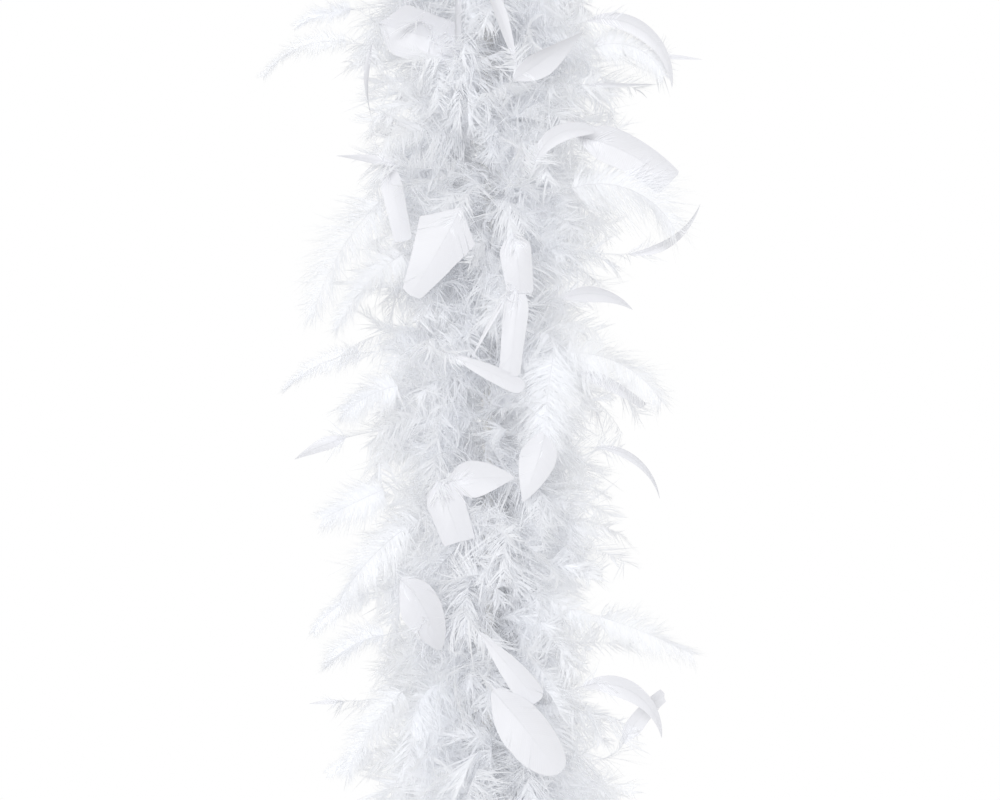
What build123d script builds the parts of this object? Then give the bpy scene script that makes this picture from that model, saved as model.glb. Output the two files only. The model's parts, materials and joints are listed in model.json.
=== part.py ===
from build123d import *
import math
import os

# A feather boa: short turkey flats bound all along a twisted cotton cord.
#
# Frame: the origin is the bearing point of the hanging loop, the highest point inside its eye.
# +Z is up and the boa hangs straight down from there, along -Z. Sizes are in millimetres.
# The cord is divided into equal stretches. Each stretch is one rigid body, and the cord flexes
# where two of them meet: an end that is round about the flex axis sits in a hollow seat, with a
# small gap. The flex axes lie along X and Y by turns.

# Whole boa
BOA_LENGTH = 1830.0  # inside of the loop's eye to the cord's cut end
LOOP_DROP = 32.0  # inside of the loop's eye to the first stretch
TAIL_DROP = 28.0  # last stretch to the cord's cut end
STRETCH_COUNT = 12
STRETCH_LENGTH = (BOA_LENGTH - LOOP_DROP - TAIL_DROP) / STRETCH_COUNT

# Cord and the thread that binds the quills to it
CORD_RADIUS = 2.5
SEAT_GAP = 0.6
THREAD_RADIUS = 4.0
THREAD_SETBACK = 7.0

# Feathers: quill root and the slope that the quills leave the cord at
QUILL_ROOT = 3.2
QUILL_WIDTH = 1.6
QUILL_THICKNESS = 1.2
RISE_ANGLE = 20.0

# Every feather's outline seen from above: where its sides bulge between the stem's end and the
# widest place, and between there and the tip, and its width at both as a share of the widest
SWELL_AT = 0.45
SHOULDER_AT = 0.7
SIDE_FULLNESS = 0.72
TIP_OVERRUN = 1.0  # the outline passes the tip by this much, and the side profile cuts it off

# Downy plumes, standing in whorls with every second whorl turned by half a step
PLUME_REACH = 50.0
PLUME_STEM_END = 11.0
PLUME_WIDEST_AT = 31.0
PLUME_WIDTH = 24.0
PLUME_THICKNESS = 6.5
PLUME_TIP_THICKNESS = 0.8
PLUME_DROOPS = (44.0, 50.0, 56.0)  # slope of the tip below level, one for each kind of plume
PLUMES_PER_WHORL = 4
WHORL_COUNT = 4
FIRST_WHORL = 22.0  # below the top of the stretch
LAST_WHORL = 45.0  # above the foot of the stretch
WHORL_PITCH = (STRETCH_LENGTH - FIRST_WHORL - LAST_WHORL) / (WHORL_COUNT - 1)

# Flat feathers, reaching out between the plumes
FLAT_REACH = 85.0
FLAT_STEM_END = 48.0
FLAT_WIDEST_AT = 64.0
FLAT_WIDTH = 15.0
FLAT_THICKNESS = 1.0
FLAT_TIP_THICKNESS = 0.6
FLAT_DROOPS = (50.0, 58.0)
FLATS_PER_STRETCH = 8
FLAT_RISE_ANGLE = 14.0

# Every stretch has its feathers turned this much further about the cord than the one above
STRETCH_TURN = 22.5

# Hanging loop at the top
LOOP_CORD_RADIUS = 1.5
EYE_RADIUS = 7.0
LEG_SPREAD = 2.0
LEG_END = LOOP_DROP - 4.0  # the legs end on the cord's top face
TOP_WHIP_START = LOOP_DROP - 14.0
TOP_WHIP_END = LOOP_DROP + 5.0
TOP_WHIP_RADIUS = 5.0

# Bottom end
BOTTOM_WHIP_LENGTH = 6.0
BOTTOM_WHIP_RADIUS = 3.6
KNOT_LENGTH = 8.0
KNOT_RADIUS = 4.8
TAIL_STRAND_RADIUS = 1.1
TAIL_SPREAD = 1.3


def stretch_top(index):
    """Height of the top of stretch index, counted from 1."""
    return -LOOP_DROP - (index - 1) * STRETCH_LENGTH


def arch_point(radius, start_angle, angle):
    """Point on the arch of a feather that leaves the cord at start_angle and turns down."""
    out = QUILL_ROOT + radius * (math.sin(math.radians(start_angle)) - math.sin(math.radians(angle)))
    up = radius * (math.cos(math.radians(angle)) - math.cos(math.radians(start_angle)))
    return out, up


def side_profile(reach, start_angle, droop, middle_thickness, tip_thickness):
    """The feather seen from the side: a thin arched band, thickest in its middle."""
    span = math.sin(math.radians(start_angle)) + math.sin(math.radians(droop))
    radius = (reach - QUILL_ROOT) / span
    root_x, root_z = arch_point(radius, start_angle, start_angle)
    mid_angle = (start_angle - droop) / 2
    mid_x, mid_z = arch_point(radius, start_angle, mid_angle)
    tip_x, tip_z = arch_point(radius, start_angle, -droop)
    lean_x = -math.sin(math.radians(mid_angle)) * middle_thickness / 2
    lean_z = math.cos(math.radians(mid_angle)) * middle_thickness / 2
    root_half = QUILL_THICKNESS / 2
    tip_half = tip_thickness / 2
    root_low = (root_x, root_z - root_half)
    root_high = (root_x, root_z + root_half)
    tip_low = (tip_x, tip_z - tip_half)
    tip_high = (tip_x, tip_z + tip_half)
    outline = Curve() + [
        Line(root_low, root_high),
        ThreePointArc(root_high, (mid_x + lean_x, mid_z + lean_z), tip_high),
        Line(tip_high, tip_low),
        ThreePointArc(tip_low, (mid_x - lean_x, mid_z - lean_z), root_low),
    ]
    return Plane.XZ * make_face(outline)


def plan_outline(stem_end, widest, reach, width):
    """The feather seen from above: a bare quill, then a leaf with a rounded tip."""
    stem_half = QUILL_WIDTH / 2
    half = width / 2
    full = half * SIDE_FULLNESS
    tip = (reach + TIP_OVERRUN, 0)
    swell = stem_end + (widest - stem_end) * SWELL_AT
    shoulder = widest + (reach - widest) * SHOULDER_AT
    outline = Curve() + [
        Line((0, -stem_half), (0, stem_half)),
        Line((0, stem_half), (stem_end, stem_half)),
        ThreePointArc((stem_end, stem_half), (swell, full), (widest, half)),
        ThreePointArc((widest, half), (shoulder, full), tip),
        ThreePointArc(tip, (shoulder, -full), (widest, -half)),
        ThreePointArc((widest, -half), (swell, -full), (stem_end, -stem_half)),
        Line((stem_end, -stem_half), (0, -stem_half)),
    ]
    return make_face(outline)


def feather(profile, outline, width, reach):
    """One closed feather, rooted beside the cord and reaching along +X."""
    band = extrude(profile, amount=width / 2, both=True)
    leaf = extrude(outline, amount=reach, both=True)
    return (band & leaf).solid()


def plume(droop):
    profile = side_profile(PLUME_REACH, RISE_ANGLE, droop, PLUME_THICKNESS, PLUME_TIP_THICKNESS)
    outline = plan_outline(PLUME_STEM_END, PLUME_WIDEST_AT, PLUME_REACH, PLUME_WIDTH)
    return feather(profile, outline, PLUME_WIDTH, PLUME_REACH)


def flat_feather(droop):
    profile = side_profile(FLAT_REACH, FLAT_RISE_ANGLE, droop, FLAT_THICKNESS, FLAT_TIP_THICKNESS)
    outline = plan_outline(FLAT_STEM_END, FLAT_WIDEST_AT, FLAT_REACH, FLAT_WIDTH)
    return feather(profile, outline, FLAT_WIDTH, FLAT_REACH)


def placed(solid, index, turn, height):
    """A feather of stretch index, turned about the cord and moved to its height."""
    return solid.moved(Location((0, 0, height), (0, 0, turn + STRETCH_TURN * (index - 1))))


def down_plumes(index, kinds):
    """The plumes of one stretch: whorls of four, each turned half a step from the last."""
    step = 360.0 / PLUMES_PER_WHORL
    solids = []
    for whorl in range(WHORL_COUNT):
        height = stretch_top(index) - FIRST_WHORL - whorl * WHORL_PITCH
        for spoke in range(PLUMES_PER_WHORL):
            kind = kinds[(whorl + spoke + index) % len(kinds)]
            solids.append(placed(kind, index, step * (spoke + whorl / 2), height))
    return Compound(children=solids)


def flat_feathers(index, kinds):
    """The flat feathers of one stretch, at two heights, between the plumes."""
    step = 360.0 / FLATS_PER_STRETCH
    solids = []
    for spoke in range(FLATS_PER_STRETCH):
        level = spoke % 2
        height = stretch_top(index) - FIRST_WHORL - (level + 0.5) * WHORL_PITCH
        kind = kinds[(spoke // 2 + index) % len(kinds)]
        solids.append(placed(kind, index, step * (spoke + 0.5), height))
    return Compound(children=solids)


def knuckle(boundary, radius):
    """A short cylinder about the flex axis below stretch number boundary: X and Y by turns."""
    turn = (0, 90, 0) if boundary % 2 else (90, 0, 0)
    place = Location((0, 0, stretch_top(boundary + 1)), turn)
    return place * Cylinder(radius, 2 * CORD_RADIUS)


def core_cord(index):
    """One stretch of cord: a hollow seat at its top and a round end at its bottom.

    The first stretch reaches up to the loop's legs, and the last one ends flat on the knot.
    """
    head = -LEG_END if index == 1 else stretch_top(index)
    foot = stretch_top(index + 1)
    cord = Pos(0, 0, (head + foot) / 2) * Cylinder(CORD_RADIUS, head - foot)
    if index > 1:
        cord -= knuckle(index - 1, CORD_RADIUS + SEAT_GAP)
    if index < STRETCH_COUNT:
        end_block = Pos(0, 0, foot) * Cylinder(CORD_RADIUS, 2 * CORD_RADIUS)
        cord += end_block & knuckle(index, CORD_RADIUS)
    return cord.solid()


def tube(outer, inner, top, length):
    """A plain tube that hangs down from top."""
    middle = Pos(0, 0, top - length / 2)
    return (middle * (Cylinder(outer, length) - Cylinder(inner, length))).solid()


def binding_thread(index):
    """The thread wound over the quills and the cord, as one sleeve."""
    length = STRETCH_LENGTH - 2 * THREAD_SETBACK
    return tube(THREAD_RADIUS, CORD_RADIUS, stretch_top(index) - THREAD_SETBACK, length)


def leg(side):
    """One leg of the eye: an S-bend of two equal arcs, then straight down into the whipping."""
    ring_z = LOOP_CORD_RADIUS - EYE_RADIUS
    neck_z = -TOP_WHIP_START
    shoulder = Vector(side * EYE_RADIUS, 0, ring_z)
    neck = Vector(side * LEG_SPREAD, 0, neck_z)
    middle = (shoulder + neck) / 2
    upper = TangentArc(shoulder, middle, tangent=(0, 0, -1))
    lower = TangentArc(middle, neck, tangent=upper % 1)
    return [upper, lower, Line(neck, (side * LEG_SPREAD, 0, -LEG_END))]


def hanging_loop():
    """The eye of thin cord: a half ring on top, with two legs that close towards the cord."""
    ring_z = LOOP_CORD_RADIUS - EYE_RADIUS
    ring = ThreePointArc((-EYE_RADIUS, 0, ring_z), (0, 0, LOOP_CORD_RADIUS), (EYE_RADIUS, 0, ring_z))
    path = Curve() + [*leg(-1), ring, *leg(1)]
    section = Pos(-LEG_SPREAD, 0, -LEG_END) * Circle(LOOP_CORD_RADIUS)
    return sweep(section, path=path).solid()


def top_whipping(loop, cord):
    """The wound thread that holds the loop's legs on the end of the cord."""
    wound = Pos(0, 0, -(TOP_WHIP_START + TOP_WHIP_END) / 2) * Cylinder(
        TOP_WHIP_RADIUS, TOP_WHIP_END - TOP_WHIP_START
    )
    return (wound - loop - cord).solid()


def end_knot(top):
    """The stopper knot under the last feathers, as one barrel."""
    half = KNOT_LENGTH / 2
    side = Curve() + [
        Line((0, -half), (0, half)),
        Line((0, half), (CORD_RADIUS, half)),
        ThreePointArc((CORD_RADIUS, half), (KNOT_RADIUS, 0), (CORD_RADIUS, -half)),
        Line((CORD_RADIUS, -half), (0, -half)),
    ]
    barrel = revolve(Plane.XZ * make_face(side), axis=Axis.Z)
    return (Pos(0, 0, top - half) * barrel).solid()


def cord_tail(top):
    """The two cut strands of the cord below the knot."""
    length = top + BOA_LENGTH
    strand = Cylinder(TAIL_STRAND_RADIUS, length)
    middle = top - length / 2
    return Compound(children=[(Pos(side * TAIL_SPREAD, 0, middle) * strand).solid() for side in (-1, 1)])


def build():
    """Every piece of the boa by name."""
    plume_kinds = [plume(droop) for droop in PLUME_DROOPS]
    flat_kinds = [flat_feather(droop) for droop in FLAT_DROOPS]
    pieces = {}
    for index in range(1, STRETCH_COUNT + 1):
        pieces[f"core_cord_{index:02d}"] = core_cord(index)
        pieces[f"binding_thread_{index:02d}"] = binding_thread(index)
        pieces[f"down_plumes_{index:02d}"] = down_plumes(index, plume_kinds)
        pieces[f"flat_feathers_{index:02d}"] = flat_feathers(index, flat_kinds)
    cord_end = stretch_top(STRETCH_COUNT + 1)
    pieces["hanging_loop"] = hanging_loop()
    pieces["top_whipping"] = top_whipping(pieces["hanging_loop"], pieces["core_cord_01"])
    pieces["bottom_whipping"] = tube(
        BOTTOM_WHIP_RADIUS, CORD_RADIUS, cord_end + THREAD_SETBACK, BOTTOM_WHIP_LENGTH
    )
    pieces["end_knot"] = end_knot(cord_end)
    pieces["cord_tail"] = cord_tail(cord_end - KNOT_LENGTH)
    return pieces


os.makedirs("parts", exist_ok=True)
for name, shape in build().items():
    export_step(shape, f"parts/{name}.step")
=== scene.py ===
import json
import math

import bpy
import numpy as np
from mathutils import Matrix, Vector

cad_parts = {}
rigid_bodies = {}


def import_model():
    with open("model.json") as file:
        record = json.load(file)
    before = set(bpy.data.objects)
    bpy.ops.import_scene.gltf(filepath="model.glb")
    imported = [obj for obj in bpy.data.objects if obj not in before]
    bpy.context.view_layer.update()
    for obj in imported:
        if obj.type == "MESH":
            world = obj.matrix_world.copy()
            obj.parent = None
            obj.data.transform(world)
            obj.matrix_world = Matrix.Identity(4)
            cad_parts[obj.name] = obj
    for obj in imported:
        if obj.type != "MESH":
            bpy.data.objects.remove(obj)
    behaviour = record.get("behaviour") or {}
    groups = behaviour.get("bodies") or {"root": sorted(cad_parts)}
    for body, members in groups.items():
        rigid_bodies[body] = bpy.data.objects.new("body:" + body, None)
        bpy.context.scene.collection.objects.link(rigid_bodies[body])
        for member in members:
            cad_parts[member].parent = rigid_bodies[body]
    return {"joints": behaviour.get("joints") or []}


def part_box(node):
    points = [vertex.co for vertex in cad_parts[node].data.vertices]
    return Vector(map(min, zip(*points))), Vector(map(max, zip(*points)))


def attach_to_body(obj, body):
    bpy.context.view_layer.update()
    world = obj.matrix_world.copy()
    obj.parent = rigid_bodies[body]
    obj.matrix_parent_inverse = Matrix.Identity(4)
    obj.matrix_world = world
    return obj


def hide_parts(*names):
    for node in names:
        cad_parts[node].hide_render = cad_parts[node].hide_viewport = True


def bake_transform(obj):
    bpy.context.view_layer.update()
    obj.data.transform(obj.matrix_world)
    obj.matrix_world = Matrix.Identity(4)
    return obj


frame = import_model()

# A feather boa hanging from its cord loop. Everything is in metres, in the frame of the CAD part:
# the cord runs down -Z from the loop's bearing point, and the front is the -Y side.

MM = 0.001
SEED = 11
MIDDLE_TONE = 0.5

# The frame: stretches of cord, joined at flex points
JOINTS = frame["joints"]
BODIES = [JOINTS[0]["parent"]] + [joint["child"] for joint in JOINTS]
PIVOTS = [joint["pos_m"][2] for joint in JOINTS]
STRETCH = PIVOTS[0] - PIVOTS[1]
TOP = PIVOTS[0] + STRETCH
BOTTOM = PIVOTS[-1] - STRETCH
CORD_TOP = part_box("core_cord_01")[1][2]
CORD_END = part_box(f"core_cord_{len(BODIES):02d}")[0][2]
FEATHERS_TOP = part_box("top_whipping")[0][2]
FEATHERS_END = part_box("bottom_whipping")[1][2]

# The camera sees one part of the boa, centred on a flex point
SHOWN_Z = PIVOTS[5]
SHOWN_HALF = 185 * MM
VIEW_ACROSS = 5.5 * MM
VIEW_HEIGHT = 340 * MM
VIEW_WIDTH = VIEW_HEIGHT * 1000 / 800
CAMERA_DISTANCE = 1.3
SENSOR = 36

# Colours, dark and light
DOWN_COLOURS = ((0.958, 0.964, 0.982), (0.968, 0.975, 0.99))
VANE_COLOURS = ((0.668, 0.672, 0.708), (0.738, 0.742, 0.775))
COTTON_COLOURS = ((0.78, 0.77, 0.73), (0.93, 0.92, 0.89))
THREAD_COLOURS = ((0.8, 0.8, 0.81), (0.94, 0.94, 0.94))
FLOOR_COLOUR = (0.9, 0.9, 0.9)


def unit(vectors):
    """The vectors at unit length."""
    return vectors / np.maximum(np.linalg.norm(vectors, axis=-1, keepdims=True), 1e-12)


# ---------------------------------------------------------------- meshes


def grid_faces(count, rows, columns, wrap=False):
    """Quads of count separate grids. With wrap, each row closes into a ring."""
    base = (np.arange(count) * rows * columns)[:, None, None]
    row = np.arange(rows - 1)[None, :, None]
    column = np.arange(columns if wrap else columns - 1)[None, None, :]
    beside = (column + 1) % columns
    near = base + row * columns + column
    across = base + row * columns + beside
    return np.stack([near, across, across + columns, near + columns], -1).reshape(-1, 4)


def make_mesh(name, blocks, material):
    """One object from blocks of (points, quads, shade, uv)."""
    points, quads, shades, uvs = [], [], [], []
    offset = 0
    for block_points, block_quads, shade, uv in blocks:
        points.append(block_points.reshape(-1, 3))
        quads.append(block_quads + offset)
        shades.append(shade.reshape(-1))
        uvs.append(uv.reshape(-1, 2))
        offset += len(points[-1])
    points = np.concatenate(points).astype(np.float32)
    quads = np.concatenate(quads).astype(np.int32)
    mesh = bpy.data.meshes.new(name)
    mesh.vertices.add(len(points))
    mesh.vertices.foreach_set("co", points.ravel())
    mesh.loops.add(quads.size)
    mesh.loops.foreach_set("vertex_index", quads.ravel())
    mesh.polygons.add(len(quads))
    mesh.polygons.foreach_set("loop_start", np.arange(0, quads.size, 4, dtype=np.int32))
    mesh.update(calc_edges=True)
    mesh.shade_smooth()
    shade_layer = mesh.attributes.new("shade", "FLOAT", "POINT")
    shade_layer.data.foreach_set("value", np.concatenate(shades).astype(np.float32))
    uv_layer = mesh.uv_layers.new(name="along")
    corner_uv = np.concatenate(uvs).astype(np.float32)[quads.ravel()]
    uv_layer.data.foreach_set("uv", corner_uv.ravel())
    mesh.materials.append(material)
    piece = bpy.data.objects.new(name, mesh)
    bpy.context.scene.collection.objects.link(piece)
    return piece


def zone_edges():
    """Heights that part the boa into one zone round each flex point, and one at either end."""
    half = STRETCH / 2
    return [TOP] + [pivot + half for pivot in PIVOTS] + [PIVOTS[-1] - half, BOTTOM]


def attach(piece, zone):
    """The end zones ride on the end stretches. The others are left unparented, with their placement
    baked into their points.
    """
    if zone == 0:
        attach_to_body(piece, BODIES[0])
    elif zone == len(PIVOTS) + 1:
        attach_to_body(piece, BODIES[-1])
    else:
        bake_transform(piece)


# ---------------------------------------------------------------- materials


def new_material(name):
    """A material with its node tree and its main shader."""
    material = bpy.data.materials.new(name)
    material.use_nodes = True
    tree = material.node_tree
    shader = tree.nodes["Principled BSDF"]
    return material, tree, shader


def two_tone(tree, factor, dark, light):
    """A mix of two colours by a factor socket."""
    mix = tree.nodes.new("ShaderNodeMix")
    mix.data_type = "RGBA"
    mix.inputs[6].default_value = (*dark, 1)
    mix.inputs[7].default_value = (*light, 1)
    tree.links.new(factor, mix.inputs[0])
    return mix.outputs[2]


def shade_of_points(tree):
    """The tone that each point of a mesh was given."""
    shade = tree.nodes.new("ShaderNodeAttribute")
    shade.attribute_name = "shade"
    return shade.outputs["Fac"]


def add_bump(tree, shader, height, strength, distance):
    """Raises the surface a little by a height socket."""
    bump = tree.nodes.new("ShaderNodeBump")
    bump.inputs["Strength"].default_value = strength
    bump.inputs["Distance"].default_value = distance
    tree.links.new(height, bump.inputs["Height"])
    tree.links.new(bump.outputs[0], shader.inputs["Normal"])


def let_light_through(tree, shader, colour, share):
    """Mixes in light that comes through from the other side."""
    through = tree.nodes.new("ShaderNodeBsdfTranslucent")
    tree.links.new(colour, through.inputs["Color"])
    mix = tree.nodes.new("ShaderNodeMixShader")
    mix.inputs[0].default_value = share
    tree.links.new(shader.outputs[0], mix.inputs[1])
    tree.links.new(through.outputs[0], mix.inputs[2])
    tree.links.new(mix.outputs[0], tree.nodes["Material Output"].inputs["Surface"])


def down_material():
    """Soft matte down: a little greyer at the roots, nearly white at the tips."""
    material, tree, shader = new_material("feather_down")
    colour = two_tone(tree, shade_of_points(tree), *DOWN_COLOURS)
    tree.links.new(colour, shader.inputs["Base Color"])
    shader.inputs["Roughness"].default_value = 0.75
    shader.inputs["Specular IOR Level"].default_value = 0.2
    shader.inputs["Sheen Weight"].default_value = 0.15
    let_light_through(tree, shader, colour, 0.75)
    return material


def vane_material():
    """Satin blade with the fine slanting lines of its barbs."""
    material, tree, shader = new_material("feather_vane")
    uv = tree.nodes.new("ShaderNodeUVMap")
    uv.uv_map = "along"
    lines = tree.nodes.new("ShaderNodeTexWave")
    lines.bands_direction = "X"
    lines.inputs["Scale"].default_value = 14
    lines.inputs["Distortion"].default_value = 1.5
    lines.inputs["Detail"].default_value = 2
    tree.links.new(uv.outputs[0], lines.inputs["Vector"])
    tone = tree.nodes.new("ShaderNodeMath")
    tone.operation = "MULTIPLY_ADD"
    tone.inputs[1].default_value = 0.2
    tree.links.new(lines.outputs["Fac"], tone.inputs[0])
    tree.links.new(shade_of_points(tree), tone.inputs[2])
    colour = two_tone(tree, tone.outputs[0], *VANE_COLOURS)
    tree.links.new(colour, shader.inputs["Base Color"])
    add_bump(tree, shader, lines.outputs["Fac"], 0.25, 0.1 * MM)
    shader.inputs["Roughness"].default_value = 0.45
    shader.inputs["Specular IOR Level"].default_value = 0.35
    shader.inputs["Sheen Weight"].default_value = 0.1
    let_light_through(tree, shader, colour, 0.4)
    return material


def yarn_material(name, colours, bands):
    """Spun cotton or thread: fine slanting fibres and slight unevenness in tone.

    bands is how many fibres go by in one turn round the yarn.
    """
    material, tree, shader = new_material(name)
    uv = tree.nodes.new("ShaderNodeUVMap")
    uv.uv_map = "along"
    fibres = tree.nodes.new("ShaderNodeTexWave")
    fibres.bands_direction = "DIAGONAL"
    fibres.inputs["Scale"].default_value = 2 * math.pi * bands / 10
    fibres.inputs["Distortion"].default_value = 1.2
    fibres.inputs["Detail Scale"].default_value = 4
    tree.links.new(uv.outputs[0], fibres.inputs["Vector"])
    place = tree.nodes.new("ShaderNodeTexCoord")
    specks = tree.nodes.new("ShaderNodeTexNoise")
    specks.inputs["Scale"].default_value = 900
    tree.links.new(place.outputs["Object"], specks.inputs["Vector"])
    tone = tree.nodes.new("ShaderNodeMath")
    tone.operation = "MULTIPLY"
    tree.links.new(fibres.outputs["Fac"], tone.inputs[0])
    tree.links.new(specks.outputs["Fac"], tone.inputs[1])
    tree.links.new(two_tone(tree, tone.outputs[0], *colours), shader.inputs["Base Color"])
    add_bump(tree, shader, fibres.outputs["Fac"], 0.6, 0.15 * MM)
    shader.inputs["Roughness"].default_value = 0.85
    shader.inputs["Sheen Weight"].default_value = 0.2
    return material


# ---------------------------------------------------------------- shafts

# How far the feathers reach from the cord, and where their shafts leave it
BODY_RADIUS = 50 * MM
SHAFT_FOOT = 2.5 * MM
GOLDEN_ANGLE = math.pi * (3 - math.sqrt(5))

# Points along a shaft's line, and the sides and rings of the tube that is made on it
SHAFT_POINTS = 15
LONG_SHAFT_POINTS = 25
QUILL_SIDES = 3
QUILL_RINGS = 9

# Radius of a shaft at its foot and at its end, by kind of feather
DOWNY_QUILL = (0.3 * MM, 0.05 * MM)
FLAT_QUILL = (0.4 * MM, 0.15 * MM)
PLACED_STEM_QUILL = (0.35 * MM, 0.12 * MM)
PLACED_BLADE_QUILL = (0.12 * MM, 0.03 * MM)
PLUME_QUILL = (0.08 * MM, 0.03 * MM)

# Uneven fullness, in waves along and around the boa: (share, radians per metre, waves around, offset)
FULLNESS_WAVES = [(1.0, 47, 2, 0.0), (0.7, 83, -1, 1.3), (0.5, 151, 3, 0.0)]
WAVE_DEPTH = 0.05

# The boa thins out towards its ends: the share that is left there, and over what length
TOP_FULLNESS = 0.55
TOP_THINS_OVER = 50 * MM
BOTTOM_FULLNESS = 0.4
BOTTOM_THINS_OVER = 80 * MM


def unevenness(z, turn):
    """How far feathers reach, as a share: uneven along and around the boa, and less at its ends."""
    waves = 0
    for share, along, around, offset in FULLNESS_WAVES:
        waves = waves + share * np.sin(z * along + turn * around + offset)
    from_top = np.clip((TOP - z) / TOP_THINS_OVER, 0, 1)
    from_bottom = np.clip((z - FEATHERS_END) / BOTTOM_THINS_OVER, 0, 1)
    top_share = TOP_FULLNESS + (1 - TOP_FULLNESS) * from_top
    bottom_share = BOTTOM_FULLNESS + (1 - BOTTOM_FULLNESS) * from_bottom
    return (1 + WAVE_DEPTH * waves) * top_share * bottom_share


def shaft_frame(points, along, level, rolls):
    """Adds the side and the face directions of each feather along its shaft."""
    upright = np.cross(along, level)
    roll = rolls[:, :, None]
    side = unit(np.cos(roll) * level + np.sin(roll) * upright)
    face = unit(np.cross(side, along))
    return {"points": points, "along": along, "side": side, "face": face}


def free_lines(roots, turns, lengths, rises, droops, drifts, rolls, steps):
    """Shafts that leave the cord, stand out and then arch down, with the frame along them."""
    s = np.linspace(0, 1, steps)[None, :]
    elevation = rises[:, None] - droops[:, None] * s**1.3
    heading = turns[:, None] + drifts[:, None] * s
    along = np.stack(
        [
            np.cos(elevation) * np.cos(heading),
            np.cos(elevation) * np.sin(heading),
            np.sin(elevation),
        ],
        -1,
    )
    pace = (lengths / (steps - 1))[:, None, None]
    points = np.zeros_like(along)
    points[:, 1:] = np.cumsum((along[:, 1:] + along[:, :-1]) / 2 * pace, axis=1)
    start = np.stack([np.cos(turns) * SHAFT_FOOT, np.sin(turns) * SHAFT_FOOT, roots], -1)
    points += start[:, None]
    level = np.stack([-np.sin(heading), np.cos(heading), np.zeros_like(heading)], -1)
    return shaft_frame(points, along, level, rolls[:, None] * np.ones_like(s))


def sample(line, at):
    """Positions and directions at shares of each shaft's length: at is feathers by samples."""
    steps = line["points"].shape[1]
    place = np.clip(at, 0, 1) * (steps - 1)
    low = np.minimum(place.astype(int), steps - 2)
    share = (place - low)[..., None]
    rows = np.arange(len(at))[:, None]
    found = {}
    for key, values in line.items():
        found[key] = values[rows, low] * (1 - share) + values[rows, low + 1] * share
    return found


def chosen(line, which):
    """Some of the shafts."""
    return {key: value[which] for key, value in line.items()}


def quills(line, start, end, thick, thin):
    """Tapering shafts from start to end, in shares of each line."""
    count = len(line["points"])
    s = np.linspace(0, 1, QUILL_RINGS)
    root = sample(line, start[:, None] + (end - start)[:, None] * s[None])
    radius = (thick * (1 - s) + thin * s)[:, None, None]
    turn = np.arange(QUILL_SIDES) * 2 * np.pi / QUILL_SIDES
    ring = (
        np.cos(turn)[None, None, :, None] * root["side"][:, :, None]
        + np.sin(turn)[None, None, :, None] * root["face"][:, :, None]
    )
    points = root["points"][:, :, None] + ring * radius
    shade = np.full(points.shape[:-1], MIDDLE_TONE)
    grid = np.stack(np.meshgrid(turn / (2 * np.pi), s), -1)
    uv = np.broadcast_to(grid, (*points.shape[:-1], 2))
    return points, grid_faces(count, QUILL_RINGS, QUILL_SIDES, wrap=True), shade, uv


# ---------------------------------------------------------------- down

# Barbs: how many on each side of a shaft, points along one, and how many go together in a lock
BARBS_PER_SIDE = 74
BARB_POINTS = 4
UNDER_BARB_POINTS = 3
LOCK_SIZE = 5
BARB_LENGTH = 14 * MM
BARB_HALF_WIDTH = 0.2 * MM

# Curves as (places, values). The first three run up a feather's shaft, the last along a barb
WILDNESS = ([0, 0.3, 1], [1.0, 0.35, 0.22])
BARB_REACH = ([0, 0.2, 0.5, 0.85, 1], [0.9, 1.05, 0.95, 0.65, 0.45])
BARB_THICKNESS = ([0, 0.25, 1], [1.4, 1.1, 0.9])
BARB_TAPER = ([0, 0.3, 0.7, 1], [0.8, 1.0, 0.75, 0.12])

# How barbs lean towards their feather's tip, in degrees, and curl on, up the shaft and downwards
LEAN_AT_FOOT = 78
LEAN_LOST_BY_TIP = 34
CURL_ALONG = 0.45
CURL_DOWN = 0.25

# Spreads of what differs at random: by feather, by lock and by single barb
LOOSENESS = (0.45, 0.95)
FEATHER_TROUGH = 0.5
FEATHER_WAVE = 0.3
WAVES_PER_FEATHER = (4, 12)
LOCK_LEAN, BARB_LEAN = 0.22, 0.12
LOCK_LIFT, BARB_LIFT = 0.8, 0.45
LOCK_CURL, BARB_CURL = 0.75, 0.35
LOCK_LENGTH = 0.12
BARB_LENGTHS = (0.8, 1.1)
BARB_GATHER = (0.3, 1.3)
BARB_TURN = 0.22
BARB_THICKNESSES = 0.4
FEATHER_TONE = 0.12

# The tone of down at a barb's foot, and how much lighter it is at the tip. How far a barb may be
# from its even place, in steps between barbs
FOOT_TONE = 0.3
TIP_LIGHTER = 0.5
BARB_SHIFT = 0.4


def per_lock(rng, shape, spread, *more):
    """A random number for each lock of neighbouring barbs, given to all its barbs."""
    count, sides, barbs = shape
    locks = -(-barbs // LOCK_SIZE)
    values = rng.normal(0, spread, (count, sides, locks, *more))
    values = np.repeat(values, LOCK_SIZE, axis=2)[:, :, :barbs]
    return values.reshape(count, sides * barbs, *more)


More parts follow.
